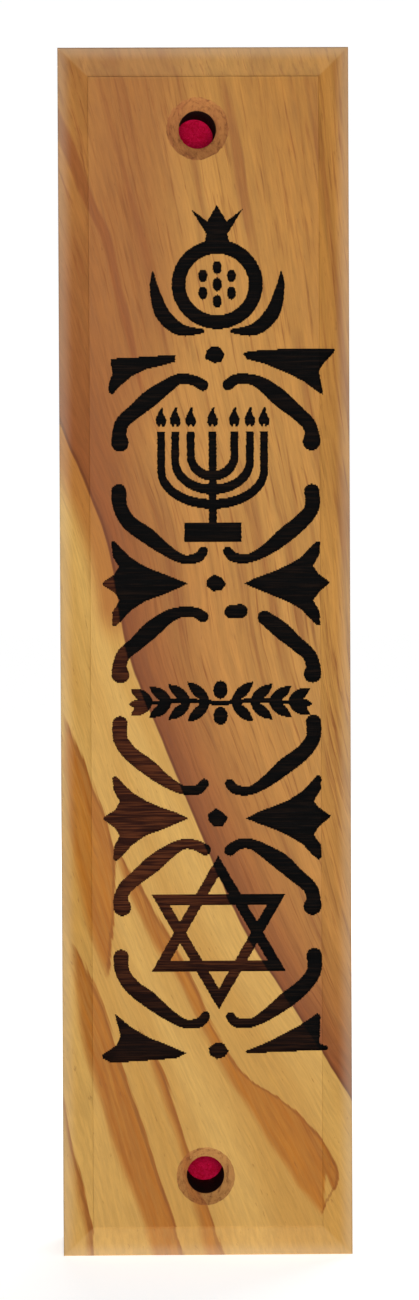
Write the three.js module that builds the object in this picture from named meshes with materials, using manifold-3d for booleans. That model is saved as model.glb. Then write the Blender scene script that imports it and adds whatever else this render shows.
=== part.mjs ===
// Mezuzah case: a bevelled hardwood block with a routed scroll channel, closed at the back by a
// sliding dovetail cover that is lined with felt. A rolled parchment in a clear sleeve lies inside.
//
// Units are millimetres. The origin is the centre of the rear mounting plane. +Z runs up the long
// axis, +X points right as seen from the front, and the decorated front faces -Y.

import * as THREE from "three";
import { ConvexGeometry } from "three/addons/geometries/ConvexGeometry.js";
import { mergeVertices } from "three/addons/utils/BufferGeometryUtils.js";
import Module from "manifold-3d";

const wasm = await Module();
wasm.setup();

// ---------------------------------------------------------------- driving dimensions

// The wooden block and its fielded front.
const caseWidth = 30;
const caseThickness = 15;
const caseHeight = 125;
const bevelWidth = 3.1;
const bevelDrop = 1.1;
const fieldStep = 0.15;

// The two screw holes, a little off the centre line because they are drilled by hand.
const throatDiameter = 3.9;
const screwHoles = [
  { x: -0.6, z: 54.0, sinkDiameter: 6.4 },
  { x: -0.25, z: -54.1, sinkDiameter: 6.0 },
];

// The dovetail groove across the back: open at the top end, stopped above the bottom end.
const grooveMouthWidth = 18;
const grooveFloorWidth = 21;
const grooveDepth = 4;
const grooveStop = 3;

// The channel that holds the scroll, cut from the groove's floor with a straight router bit.
const channelWidth = 10;
const channelLength = 84;
const frontWall = 2;

// The sliding cover, its screw clearance holes and the notch for a thumbnail.
const slideClearance = 0.3;
const coverThickness = 2.4;
const coverSetback = 0.3;
const clearanceDiameter = 4.4;
const notchWidth = 12;
const notchRadius = 6;
const notchDepth = 0.9;
const notchHeight = 38;

// The felt lining glued to the cover's inner face.
const glueLine = 0.05;
const feltThickness = 1.0;
const feltWidth = 18.8;
const feltInset = 0.8;

// The rolled parchment, a square sheet of 70 mm, and its clear sleeve.
const parchmentSide = 70;
const parchmentThickness = 0.2;
const scrollRadius = 3.9;
const scrollPitch = 0.45;
const scrollTurns = 3.6;
const sleeveInnerRadius = 4.05;
const sleeveOuterRadius = 4.3;
const sleeveLength = 74;
const sleeveEndGap = 2.7;

// Smoothness of the round shapes, and how far a cutter reaches past the surface it opens.
const roundSegments = 48;
const stepsPerTurn = 28;
const overcut = 1;

// ---------------------------------------------------------------- places worked out from them

const halfWidth = caseWidth / 2;
const halfHeight = caseHeight / 2;
const channelFloor = -(caseThickness - frontWall);
const coverOuterFace = -coverSetback;
const coverInnerFace = coverOuterFace - coverThickness;
const coverBottom = -halfHeight + grooveStop + slideClearance;
const sleeveBottom = -channelLength / 2 + sleeveEndGap;
const scrollCentreY = (channelFloor - grooveDepth) / 2;
const scrollBottom = sleeveBottom + (sleeveLength - parchmentSide) / 2;

// Half the groove's width at a depth given as a row Y value, which is negative inside the block.
function grooveHalfWidth(y) {
  const flare = (grooveFloorWidth - grooveMouthWidth) / 2 / grooveDepth;
  return grooveMouthWidth / 2 - y * flare;
}

// ---------------------------------------------------------------- solids

function toSolid(geometry) {
  const bare = geometry.clone();
  bare.deleteAttribute("normal");
  bare.deleteAttribute("uv");
  const merged = mergeVertices(bare, 1e-4);
  const mesh = new wasm.Mesh({
    numProp: 3,
    vertProperties: new Float32Array(merged.attributes.position.array),
    triVerts: new Uint32Array(merged.index.array),
  });
  return new wasm.Manifold(mesh);
}

function toGeometry(solid) {
  const mesh = solid.getMesh();
  const geometry = new THREE.BufferGeometry();
  geometry.setAttribute("position", new THREE.BufferAttribute(mesh.vertProperties, 3));
  geometry.setIndex(new THREE.BufferAttribute(mesh.triVerts, 1));
  return geometry;
}

// A box between two corners.
function boxBetween(low, high) {
  const size = high.map((value, i) => value - low[i]);
  const centre = high.map((value, i) => (value + low[i]) / 2);
  return new THREE.BoxGeometry(...size).translate(...centre);
}

// A section drawn in the XY plane and carried up the long axis.
function prismAlongZ(points, bottom, top) {
  const section = new THREE.Shape(points.map(([x, y]) => new THREE.Vector2(x, y)));
  const prism = new THREE.ExtrudeGeometry(section, { depth: top - bottom, bevelEnabled: false });
  return prism.translate(0, 0, bottom);
}

// A solid of revolution about a line along Y that passes through (x, z).
function turnedAlongY(profile, x, z) {
  const points = profile.map(([radius, y]) => new THREE.Vector2(radius, y));
  return new THREE.LatheGeometry(points, roundSegments).translate(x, 0, z);
}

// ---------------------------------------------------------------- the block

// The blank: straight sides, then one bevel all round that rises to the fielded front.
function caseBlank() {
  const shoulder = -(caseThickness - bevelDrop - fieldStep);
  const bevelTop = -(caseThickness - fieldStep);
  const fieldHalfWidth = halfWidth - bevelWidth;
  const fieldHalfHeight = halfHeight - bevelWidth;
  const corners = [];
  for (const sideX of [-1, 1]) {
    for (const sideZ of [-1, 1]) {
      corners.push(new THREE.Vector3(sideX * halfWidth, 0, sideZ * halfHeight));
      corners.push(new THREE.Vector3(sideX * halfWidth, shoulder, sideZ * halfHeight));
      corners.push(new THREE.Vector3(sideX * fieldHalfWidth, bevelTop, sideZ * fieldHalfHeight));
    }
  }
  const bevelled = toSolid(new ConvexGeometry(corners));
  const field = boxBetween(
    [-fieldHalfWidth, -caseThickness, -fieldHalfHeight],
    [fieldHalfWidth, shoulder, fieldHalfHeight],
  );
  return bevelled.add(toSolid(field));
}

// A countersunk hole, 90 degrees across the cone, from the front to the groove's floor.
function screwHoleCutter({ x, z, sinkDiameter }) {
  const throat = throatDiameter / 2;
  const sink = sinkDiameter / 2;
  const sinkDepth = sink - throat;
  return turnedAlongY(
    [
      [0, -caseThickness - overcut],
      [sink + overcut, -caseThickness - overcut],
      [throat, -caseThickness + sinkDepth],
      [throat, -grooveDepth + overcut],
      [0, -grooveDepth + overcut],
    ],
    x,
    z,
  );
}

function grooveCutter() {
  const mouth = grooveHalfWidth(overcut);
  const floor = grooveHalfWidth(-grooveDepth);
  const section = [
    [-floor, -grooveDepth],
    [floor, -grooveDepth],
    [mouth, overcut],
    [-mouth, overcut],
  ];
  return prismAlongZ(section, -halfHeight + grooveStop, halfHeight + overcut);
}

// The channel's outline has round ends, as the router bit leaves them.
function channelCutter() {
  const radius = channelWidth / 2;
  const straight = channelLength / 2 - radius;
  const outline = new THREE.Shape();
  outline.absarc(0, straight, radius, 0, Math.PI, false);
  outline.absarc(0, -straight, radius, Math.PI, 2 * Math.PI, false);
  outline.closePath();
  const depth = -grooveDepth + overcut - channelFloor;
  const cutter = new THREE.ExtrudeGeometry(outline, {
    depth,
    bevelEnabled: false,
    curveSegments: roundSegments / 2,
  });
  return cutter.rotateX(Math.PI / 2).translate(0, channelFloor + depth, 0);
}

function caseBody() {
  let body = caseBlank();
  body = body.subtract(toSolid(grooveCutter()));
  body = body.subtract(toSolid(channelCutter()));
  for (const hole of screwHoles) {
    body = body.subtract(toSolid(screwHoleCutter(hole)));
  }
  return toGeometry(body);
}

// ---------------------------------------------------------------- the cover and its lining

function backCover() {
  const outer = grooveHalfWidth(coverOuterFace) - slideClearance;
  const inner = grooveHalfWidth(coverInnerFace) - slideClearance;
  const section = [
    [-inner, coverInnerFace],
    [inner, coverInnerFace],
    [outer, coverOuterFace],
    [-outer, coverOuterFace],
  ];
  let cover = toSolid(prismAlongZ(section, coverBottom, halfHeight));

  const radius = clearanceDiameter / 2;
  for (const { x, z } of screwHoles) {
    const profile = [
      [0, coverInnerFace - overcut],
      [radius, coverInnerFace - overcut],
      [radius, coverOuterFace + overcut],
      [0, coverOuterFace + overcut],
    ];
    cover = cover.subtract(toSolid(turnedAlongY(profile, x, z)));
  }

  const notch = new THREE.CylinderGeometry(notchRadius, notchRadius, notchWidth, roundSegments)
    .rotateZ(Math.PI / 2)
    .translate(0, coverOuterFace - notchDepth + notchRadius, notchHeight);
  return toGeometry(cover.subtract(toSolid(notch)));
}

function coverFelt() {
  const top = coverInnerFace - glueLine;
  return boxBetween(
    [-feltWidth / 2, top - feltThickness, coverBottom + feltInset],
    [feltWidth / 2, top, halfHeight - feltInset],
  );
}

// ---------------------------------------------------------------- what the case holds

// The roll's end view: out along the spiral on one face of the sheet and back on the other.
function spiralSection() {
  const steps = Math.round(scrollTurns * stepsPerTurn);
  const innerRadius = scrollRadius - scrollPitch * scrollTurns;
  const face = (offset) => {
    const points = [];
    for (let i = 0; i <= steps; i += 1) {
      const turn = i / stepsPerTurn;
      const angle = turn * 2 * Math.PI;
      const radius = innerRadius + turn * scrollPitch - offset;
      points.push([radius * Math.cos(angle), radius * Math.sin(angle)]);
    }
    return points;
  };
  return [...face(0), ...face(parchmentThickness).reverse()];
}

function parchmentScroll() {
  const roll = prismAlongZ(spiralSection(), scrollBottom, scrollBottom + parchmentSide);
  return roll.translate(0, scrollCentreY, 0);
}

function scrollSleeve() {
  const wall = [
    [sleeveInnerRadius, 0],
    [sleeveOuterRadius, 0],
    [sleeveOuterRadius, sleeveLength],
    [sleeveInnerRadius, sleeveLength],
    [sleeveInnerRadius, 0],
  ];
  const points = wall.map(([radius, height]) => new THREE.Vector2(radius, height));
  return new THREE.LatheGeometry(points, roundSegments)
    .rotateX(Math.PI / 2)
    .translate(0, scrollCentreY, sleeveBottom);
}

// ---------------------------------------------------------------- materials and scene graph

const oliveWood = { color: 0xb9873f, roughness: 0.55, metalness: 0 };
const paleOliveWood = { color: 0xc29a55, roughness: 0.6, metalness: 0 };
const crimsonFelt = { color: 0xaa0026, roughness: 0.95, metalness: 0 };
const parchment = { color: 0xe9dcbc, roughness: 0.8, metalness: 0 };
const clearFilm = { color: 0xeef2f4, roughness: 0.1, metalness: 0, transparent: true, opacity: 0.3 };

function namedMesh(name, geometry, finish) {
  const mesh = new THREE.Mesh(geometry, new THREE.MeshStandardMaterial(finish));
  mesh.name = name;
  return mesh;
}

const caseGroup = new THREE.Group();
caseGroup.add(namedMesh("case_body", caseBody(), oliveWood));
caseGroup.add(namedMesh("parchment_scroll", parchmentScroll(), parchment));
caseGroup.add(namedMesh("scroll_sleeve", scrollSleeve(), clearFilm));

const coverGroup = new THREE.Group();
coverGroup.add(namedMesh("back_cover", backCover(), paleOliveWood));
coverGroup.add(namedMesh("cover_felt", coverFelt(), crimsonFelt));

const mezuzahCase = new THREE.Group();
mezuzahCase.add(caseGroup, coverGroup);

export default mezuzahCase;
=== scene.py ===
import math
import random

import bmesh
import bpy
from mathutils import Matrix, Vector, noise


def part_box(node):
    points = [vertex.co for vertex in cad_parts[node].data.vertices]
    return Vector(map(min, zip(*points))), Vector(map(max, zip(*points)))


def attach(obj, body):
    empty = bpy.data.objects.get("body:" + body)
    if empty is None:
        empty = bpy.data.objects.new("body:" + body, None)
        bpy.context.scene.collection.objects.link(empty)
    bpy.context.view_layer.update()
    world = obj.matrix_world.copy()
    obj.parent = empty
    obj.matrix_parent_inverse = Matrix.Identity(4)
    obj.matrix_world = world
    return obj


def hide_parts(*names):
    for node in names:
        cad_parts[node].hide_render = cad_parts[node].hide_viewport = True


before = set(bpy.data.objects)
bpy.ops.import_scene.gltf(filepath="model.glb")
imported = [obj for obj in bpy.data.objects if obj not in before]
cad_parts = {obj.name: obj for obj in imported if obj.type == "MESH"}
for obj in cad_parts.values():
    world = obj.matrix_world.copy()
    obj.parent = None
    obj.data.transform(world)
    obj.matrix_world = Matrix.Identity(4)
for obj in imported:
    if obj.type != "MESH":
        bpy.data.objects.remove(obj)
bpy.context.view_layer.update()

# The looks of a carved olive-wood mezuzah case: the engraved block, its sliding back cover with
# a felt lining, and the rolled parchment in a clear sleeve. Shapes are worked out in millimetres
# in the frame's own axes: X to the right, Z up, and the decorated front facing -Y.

MM = 0.001
random.seed(18)


def node_box(name):
    """A CAD node's lowest and highest corners, in millimetres."""
    low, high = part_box(name)
    return Vector(low) / MM, Vector(high) / MM


case_low, case_high = node_box("case_body")
cover_low, cover_high = node_box("back_cover")
felt_low, felt_high = node_box("cover_felt")
scroll_low, scroll_high = node_box("parchment_scroll")
sleeve_low, sleeve_high = node_box("scroll_sleeve")

HALF_WIDTH = case_high.x
HALF_HEIGHT = case_high.z
FRONT = case_low.y

# ---- driving dimensions, in mm

# The front's bevel and the small step that sets off its flat field.
BEVEL_WIDTH = 3.1
BEVEL_DROP = 1.1
FIELD_STEP = 0.15
BEVEL_SLOPE = BEVEL_DROP / BEVEL_WIDTH
EDGE_SOFTNESS = 0.2
BACK_SOFTNESS = 0.25

# The screw holes. The upper one was drilled slightly out of square, and leans as far as the
# lining. Each has its middle, the radius of its countersink and how torn its rim is.
THROAT = 1.95
LINING_DEPTH = 11.0
HOLE_SEGMENTS = 96
HOLES = [
    {"x": -0.6, "z": 54.0, "sink": 3.2, "lean": 0.022, "roughness": 0.07},
    {"x": -0.25, "z": -54.1, "sink": 3.0, "lean": 0.0, "roughness": 0.035},
]

# The back: a stopped dovetail groove and the scroll channel in its floor.
GROOVE_MOUTH = 9.0
GROOVE_FLOOR = 10.5
GROOVE_DEPTH = 4.0
GROOVE_STOP = 3.0
CHANNEL_HALF_WIDTH = 5.0
CHANNEL_HALF_LENGTH = 42.0
CHANNEL_FLOOR = -13.0

# The sliding cover.
CLEARANCE_HOLE = 2.2
NOTCH_HEIGHT = 38.0
NOTCH_RADIUS = 6.0
NOTCH_DEPTH = 0.9
NOTCH_HALF_WIDTH = 6.0
NOTCH_END = 1.0

# How far a cutter reaches past the face it goes in at.
OVERCUT = 1.0

# Less than this is no distance at all.
TINY = 1e-6

# The laser's raster: the pitch of its rows, where it lies, how deep it burns and how ragged the
# ends are. Stretches less than JOINED_GAP apart run together, and ones shorter than SHORTEST_BURN
# are dropped. An end within COLUMN_SNAP of a fold in the bevel moves onto the fold.
ROW_PITCH = 0.125
RASTER_TOP = 47.0
RASTER_BOTTOM = -45.5
RASTER_LEFT = -11.5
RASTER_RIGHT = 14.2
BURN_DEPTHS = (0.32, 0.35, 0.38)
RAGGED = 0.045
JOINED_GAP = 0.08
SHORTEST_BURN = 0.1
COLUMN_SNAP = 0.03

# The ornament's own centre line, a little right of the block's, and its repeating heights.
AXIS_X = 1.1
DOT_ROWS = (30.8, 7.2, -17.0, -41.1)
MEDALLIONS = (19.0, -4.9, -29.0)

# Material slots on the block, and the cover's slot for cut wood.
WOOD, BURNT, BORED, ROUTED = range(4)
CUT_COVER = 1


# ---- outlines for the engraving

def ellipse(cx, cz, rx, rz, steps):
    """An ellipse as a closed outline."""
    angles = [2 * math.pi * i / steps for i in range(steps)]
    return [(cx + rx * math.cos(angle), cz + rz * math.sin(angle)) for angle in angles]


def leaf(cx, cz, length, width, degrees):
    """A pointed leaf from (cx, cz), which points the way its angle says."""
    turn = math.radians(degrees)
    outline = []
    steps = 10
    for side in (1, -1):
        for i in range(steps):
            t = i / steps if side == 1 else 1 - i / steps
            along = length * t
            across = side * width / 2 * math.sin(math.pi * t) ** 0.8
            outline.append((
                cx + along * math.cos(turn) - across * math.sin(turn),
                cz + along * math.sin(turn) + across * math.cos(turn),
            ))
    return outline


def through(points, steps):
    """A smooth line through points of any dimension, by Catmull-Rom."""
    ends = [points[0], *points, points[-1]]
    line = []
    for i in range(len(points) - 1):
        p0, p1, p2, p3 = ends[i:i + 4]
        for k in range(steps):
            t = k / steps
            line.append(tuple(
                0.5 * (2 * b + (c - a) * t + (2 * a - 5 * b + 4 * c - d) * t * t
                       + (3 * b - a - 3 * c + d) * t ** 3)
                for a, b, c, d in zip(p0, p1, p2, p3)
            ))
    line.append(tuple(points[-1]))
    return line


def stroke(points, steps=8):
    """Shapes that cover a brush stroke. Each point is (x, z, width)."""
    line = through(points, steps)
    shapes = [[ellipse(x, z, width / 2, width / 2, 16)] for x, z, width in line]
    for (x0, z0, w0), (x1, z1, w1) in zip(line, line[1:]):
        length = math.hypot(x1 - x0, z1 - z0)
        if length < TINY:
            continue
        nx, nz = (z0 - z1) / length / 2, (x1 - x0) / length / 2
        shapes.append([[
            (x0 + nx * w0, z0 + nz * w0), (x1 + nx * w1, z1 + nz * w1),
            (x1 - nx * w1, z1 - nz * w1), (x0 - nx * w0, z0 - nz * w0),
        ]])
    return shapes


def moved(shapes, dx, dz, mirror_x=1, mirror_z=1):
    """Copies of shapes, mirrored about their own axes and then moved."""
    return [
        [[(dx + mirror_x * x, dz + mirror_z * z) for x, z in loop] for loop in shape]
        for shape in shapes
    ]


# ---- the ornament

# A medallion's frame, as strokes of (x, z, width) from its centre, for the quarters above
# and below. The lower ones run on further and end more bluntly.
UPPER_STROKE = [
    (1.3, 8.7, 1.2), (2.2, 9.2, 1.1), (3.6, 9.25, 1.1), (5.0, 8.6, 1.45), (6.7, 7.3, 1.8),
    (8.2, 6.0, 1.55), (9.5, 4.8, 1.45), (9.95, 3.6, 1.5), (9.85, 2.8, 1.85),
]
LOWER_STROKE = [
    (1.25, 8.5, 1.0), (1.95, 9.15, 1.05), (3.5, 9.2, 0.95), (5.3, 8.2, 1.3), (7.1, 6.8, 1.7),
    (8.9, 5.4, 1.6), (9.9, 3.9, 1.5), (9.95, 2.3, 1.6),
]
STROKE_WANDER = 0.07

# The upper half of a spearhead, from its tip to its outer point.
SPEAR_EDGE = [
    (2.9, 0.0), (4.2, 0.6), (5.8, 1.2), (7.3, 1.8), (8.8, 2.75), (9.8, 3.8), (10.4, 4.35),
    (10.75, 4.3), (10.7, 2.9), (10.0, 1.75), (10.5, 1.0), (11.7, 0.1),
]

# The half spearheads on the first and last rows, which differ from side to side.
TOP_LEFT_WING = [
    (-4.1, 0.0), (-4.1, -0.75), (-5.4, -1.1), (-7.1, -1.5), (-8.5, -2.15), (-9.9, -3.3),
    (-10.6, -4.1), (-11.0, -3.8), (-10.95, -2.8), (-10.6, -2.0), (-10.8, -0.4), (-8.1, -0.25),
]
TOP_RIGHT_WING = [
    (2.85, 0.1), (3.6, 0.35), (7.1, 0.55), (12.4, 0.55), (12.3, 0.2), (11.05, -1.1),
    (10.7, -1.8), (11.15, -4.15), (10.7, -4.0), (9.1, -2.8), (7.1, -1.8), (5.0, -0.95), (3.3, -0.5),
]
LAST_LEFT_WING = [
    (-3.3, -0.2), (-5.3, 0.7), (-7.1, 1.4), (-9.1, 2.6), (-10.7, 3.95), (-10.3, 2.4), (-10.1, 1.6),
    (-10.5, 0.65), (-12.0, -0.3), (-11.9, -0.75), (-11.0, -1.2), (-7.1, -0.95), (-4.3, -0.75),
]
LAST_RIGHT_WING = [
    (2.85, 0.0), (4.7, 0.7), (6.75, 1.7), (8.5, 2.65), (10.3, 3.85), (10.6, 3.6), (10.5, 0.7),
    (11.4, 0.35), (11.3, -0.1), (10.2, 0.0), (2.95, -0.3),
]


def unsteady(points, amount=STROKE_WANDER):
    """Points nudged a little, as in a traced drawing."""
    return [
        (x + random.uniform(-amount, amount), z + random.uniform(-amount, amount), *rest)
        for x, z, *rest in points
    ]


def spearhead(side):
    """A spearhead on one side of the centre line."""
    outline = unsteady(SPEAR_EDGE)
    outline += unsteady([(x, -z) for x, z in reversed(SPEAR_EDGE[1:])])
    return moved([[outline]], 0, 0, mirror_x=side)


def scroll_frame():
    """The scrollwork: dots and spearheads on four rows, and four strokes round each medallion."""
    shapes = []
    wings = [
        [[TOP_LEFT_WING], [TOP_RIGHT_WING]],
        spearhead(-1) + spearhead(1),
        spearhead(-1) + spearhead(1),
        [[LAST_LEFT_WING], [LAST_RIGHT_WING]],
    ]
    for row, pair in zip(DOT_ROWS, wings):
        dot = unsteady(ellipse(0, 0, 1.05, 0.92, 7), 0.12)
        shapes += moved([[dot]] + pair, AXIS_X, row)
    for i, centre in enumerate(MEDALLIONS):
        for side in (-1, 1):
            for end, points in ((1, UPPER_STROKE), (-1, LOWER_STROKE)):
                if (i, side, end) == (1, 1, 1):
                    # This stroke was burnt in two pieces: a short blob, a gap and the rest.
                    shapes += moved(stroke([(1.5, 9.2, 1.35), (2.5, 9.25, 1.5)]), AXIS_X, centre)
                    points = UPPER_STROKE[3:]
                shapes += moved(stroke(unsteady(points)), AXIS_X, centre, side, end)
    return shapes


def bar(low_x, high_x, low_z, high_z):
    """An upright rectangle, as a shape."""
    return [[(low_x, low_z), (high_x, low_z), (high_x, high_z), (low_x, high_z)]]


def flame():
    """A candle flame over (0, 0), with a small notch at its foot."""
    outline = [
        (0.0, 0.4), (0.2, 0.0), (0.52, 0.3), (0.58, 0.8), (0.36, 1.25), (0.2, 1.6),
        (0.24, 2.15), (0.02, 2.05), (-0.24, 1.6), (-0.52, 1.0), (-0.54, 0.45), (-0.2, 0.0),
    ]
    return [[outline]]


def candelabrum(cx, base_z):
    """A seven-branched candelabrum. Each pair of arms is one U through the stem."""
    foot_half, foot_height = 2.95, 1.9
    stem_top = base_z + 11.3
    flame_foot = stem_top + 0.45
    width = 0.82
    shapes = [
        bar(cx - foot_half, cx + foot_half, base_z, base_z + foot_height),
        bar(cx - width / 2, cx + width / 2, base_z + foot_height, stem_top),
    ]
    steps = 16
    angles = [math.pi * (1 + i / steps) for i in range(steps + 1)]
    for reach, bottom, sweep in ((2.25, 6.75, 2.1), (3.85, 5.35, 2.9), (5.3, 3.85, 3.4)):
        middle = base_z + bottom + sweep
        arm = [
            (cx + reach * math.cos(a), middle + sweep * math.sin(a), width + 0.2 * abs(math.sin(a)))
            for a in angles
        ]
        shapes += stroke(arm, steps=2)
        for side in (-1, 1):
            x = cx + side * reach
            shapes.append(bar(x - width / 2, x + width / 2, middle, stem_top))
            shapes += moved(flame(), x, flame_foot)
    return shapes + moved(flame(), cx, flame_foot)


def hexagram(cx, cz):
    """Two interlaced triangles drawn as outlines."""
    outer, line = 8.0, 1.1
    inner = outer - 2 * line
    angles = [2 * math.pi * k / 3 for k in range(3)]
    return [
        [
            [(cx + radius * math.sin(a), cz + way * radius * math.cos(a)) for a in angles]
            for radius in (outer, inner)
        ]
        for way in (1, -1)
    ]


def pomegranate(cx, cz):
    """A crowned pomegranate with seven seeds, between two leaves."""
    crown = [
        (-1.3, 2.6), (-1.1, 3.7), (-2.7, 6.3), (-1.0, 5.0), (0.0, 6.7),
        (1.0, 5.0), (2.7, 6.3), (1.1, 3.7), (1.3, 2.6),
    ]
    blade = [
        (1.6, -6.3, 0.5), (3.9, -6.1, 1.3), (5.7, -4.4, 1.5), (6.5, -1.8, 0.9), (6.6, -0.3, 0.25),
    ]
    middle = -1.5
    rind = [ellipse(0, middle, 4.7, 4.6, 48), ellipse(0, middle, 3.25, 3.15, 40)]
    middle_seed = [ellipse(0, middle, 0.5, 0.72, 16)]
    shapes = [rind, [crown], middle_seed]
    outer_seeds = 6
    for i in range(outer_seeds):
        angle = 2 * math.pi * i / outer_seeds + math.pi / 6
        x, z = 1.7 * math.cos(angle), middle + 1.75 * math.sin(angle)
        shapes.append([ellipse(x, z, 0.48, 0.7, 16)])
    for side in (-1, 1):
        shapes += moved(stroke(blade), 0, 0, mirror_x=side)
    return moved(shapes, cx, cz)


def olive_twig(cx, cz):
    """A level band of olive leaves that point away from its middle, with two olives."""
    stem = [
        (-8.4, -0.1, 0.3), (-4.0, 0.25, 0.45), (0, 0, 0.5), (4.0, 0.25, 0.45), (8.4, -0.1, 0.3),
    ]
    shapes = stroke(stem)
    for side in (-1, 1):
        for i in range(4):
            for up in (1, -1):
                blade = leaf(1.1 + 1.95 * i, 0.1, 3.1 - 0.15 * i, 1.15, up * (42 - 4 * i))
                shapes += moved([[blade]], 0, 0, mirror_x=side)
        shapes += moved([[leaf(7.6, 0.0, 1.9, 0.9, -4)]], 0, 0, mirror_x=side)
    shapes += [[ellipse(0, z, 0.75, 0.95, 20)] for z in (1.35, -1.35)]
    return moved(shapes, cx, cz)


def ornament():
    """Every engraved shape, from the top of the front to its foot."""
    return (
        pomegranate(1.35, 39.5)
        + scroll_frame()
        + candelabrum(0.8, 11.55)
        + olive_twig(1.5, -5.1)
        + hexagram(1.2, -28.85)
    )


def with_heights(shapes):
    """Each shape with its lowest and highest z, so that a row can skip most of them."""
    found = []
    for shape in shapes:
        heights = [z for loop in shape for _, z in loop]
        found.append((min(heights), max(heights), shape))
    return found


def crossings(shape, z):
    """Where a level line enters and leaves a shape, by the even-odd rule."""
    found = []
    for loop in shape:
        for (x0, z0), (x1, z1) in zip(loop, loop[1:] + loop[:1]):
            if (z0 > z) != (z1 > z):
                found.append(x0 + (x1 - x0) * (z - z0) / (z1 - z0))
    found.sort()
    return list(zip(found[::2], found[1::2]))


def burnt_spans(shapes, z):
    """The joined stretches that the laser burns in the row at z, with ragged ends."""
    spans = []
    for low, high, shape in shapes:
        if low < z < high:
            spans += crossings(shape, z)
    joined = []
    for a, b in sorted(spans):
        if joined and a <= joined[-1][1] + JOINED_GAP:
            joined[-1][1] = max(joined[-1][1], b)
        else:
            joined.append([a, b])
    ragged = []
    for a, b in joined:
        a += random.uniform(-RAGGED, RAGGED)
        b += random.uniform(-RAGGED, RAGGED)
        if b - a > SHORTEST_BURN:
            ragged.append((a, b))
    return ragged


# ---- meshes

class Builder:
    """Collects faces by their corners in millimetres, and shares corners that coincide."""

    def __init__(self):
        self.mesh = bmesh.new()
        self.corners = {}

    def corner(self, point):
        key = tuple(round(value * 1e5) for value in point)
        if key not in self.corners:
            self.corners[key] = self.mesh.verts.new(Vector(point) * MM)
        return self.corners[key]

    def face(self, points, material=0):
        """A face through points. Neighbouring points that coincide are joined."""
        ring = []
        for point in points:
            vert = self.corner(point)
            if not ring or vert is not ring[-1]:
                ring.append(vert)
        if len(ring) > 1 and ring[0] is ring[-1]:
            ring.pop()
        if len(ring) > 2 and len(set(ring)) == len(ring):
            made = self.mesh.faces.new(ring)
            made.material_index = material

    def strip(self, ring_a, ring_b, material=0, closed=True):
        """Quads between two rings with as many points each."""
        count = len(ring_a)
        for i in range(count if closed else count - 1):
            j = (i + 1) % count
            self.face([ring_a[i], ring_a[j], ring_b[j], ring_b[i]], material)

    def tube(self, rings, material=0):
        """Strips through a row of rings, open at both ends."""
        for ring_a, ring_b in zip(rings, rings[1:]):
            self.strip(ring_a, ring_b, material)

    def object(self, name, materials, sharp_degrees=30):
        """The finished piece, with its faces turned outwards."""
        bmesh.ops.recalc_face_normals(self.mesh, faces=self.mesh.faces)
        return finished(self.mesh, name, materials, sharp_degrees)


def turning(loop):
    """Twice the area of a loop seen from the front, which is negative if it runs clockwise."""
    return sum(
        x0 * z1 - x1 * z0
        for (x0, _, z0), (x1, _, z1) in zip(loop, loop[1:] + loop[:1])
    )


def around(loop, start, end):
    """The points from one index of a closed loop to another, both included."""
    count = (end - start) % len(loop) + 1
    return [loop[(start + i) % len(loop)] for i in range(count)]


def split_round(outer, ring, a, b):
    """Two loops that cover the outer loop but not the ring, split through corners a and b."""
    if turning(outer) * turning(ring) > 0:
        ring = ring[::-1]

    def nearest(point):
        return min(range(len(ring)), key=lambda k: math.dist(ring[k], point))

    ring_a, ring_b = nearest(outer[a]), nearest(outer[b])
    first = around(outer, a, b) + around(ring, ring_b, ring_a)
    second = around(outer, b, a) + around(ring, ring_a, ring_b)
    return first, second


def placed(name, data):
    """A new object in the scene."""
    made = bpy.data.objects.new(name, data)
    bpy.context.collection.objects.link(made)
    return made


def finished(mesh, name, materials, sharp_degrees=30):
    """Turns a bmesh into an object whose faces are smooth up to an angle."""
    data = bpy.data.meshes.new(name)
    for face in mesh.faces:
        face.smooth = True
    mesh.to_mesh(data)
    mesh.free()
    data.set_sharp_from_angle(angle=math.radians(sharp_degrees))
    for material in materials:
        data.materials.append(material)
    return placed(name, data)


def cut(piece, shapes, material):
    """Takes closed shapes, given as rings, away from a closed piece, for good."""
    cutters = [cutter(rings, len(piece.data.materials), material) for rings in shapes]
    for one in cutters:
        step = piece.modifiers.new("cut", "BOOLEAN")
        step.operation = "DIFFERENCE"
        step.solver = "MANIFOLD"
        step.object = one
    graph = bpy.context.evaluated_depsgraph_get()
    result = bpy.data.meshes.new_from_object(piece.evaluated_get(graph))
    result.name = piece.name
    piece.modifiers.clear()
    piece.data = result
    for one in cutters:
        bpy.data.objects.remove(one)


def rounded_corner(start, corner, end):
    """Points along a soft turn from start to end, pulled towards the sharp corner."""
    steps = 4
    points = []
    for i in range(steps + 1):
        t = i / steps
        points.append(tuple(
            (1 - t) ** 2 * a + 2 * t * (1 - t) * b + t * t * c
            for a, b, c in zip(start, corner, end)
        ))
    return points


# ---- the engraved block

def bevel_depth(inset):
    """How far the bevel lies behind the flat field, so far in from the block's side."""
    return FIELD_STEP + BEVEL_DROP - BEVEL_SLOPE * inset


def front_profile():
    """(inset, depth) from the block's side to its flat field, with softened edges."""
    outer_edge = rounded_corner(
        (0.0, bevel_depth(0) + EDGE_SOFTNESS),
        (0.0, bevel_depth(0)),
        (EDGE_SOFTNESS, bevel_depth(EDGE_SOFTNESS)),
    )
    step_foot = BEVEL_WIDTH - 0.04
    step = [
        (step_foot, bevel_depth(step_foot)),
        (BEVEL_WIDTH, FIELD_STEP - 0.02),
        (BEVEL_WIDTH + 0.03, 0.04),
        (BEVEL_WIDTH + 0.08, 0.0),
    ]
    raster_edge = HALF_WIDTH - RASTER_RIGHT
    return [*outer_edge, (raster_edge, bevel_depth(raster_edge)), *step]


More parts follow.
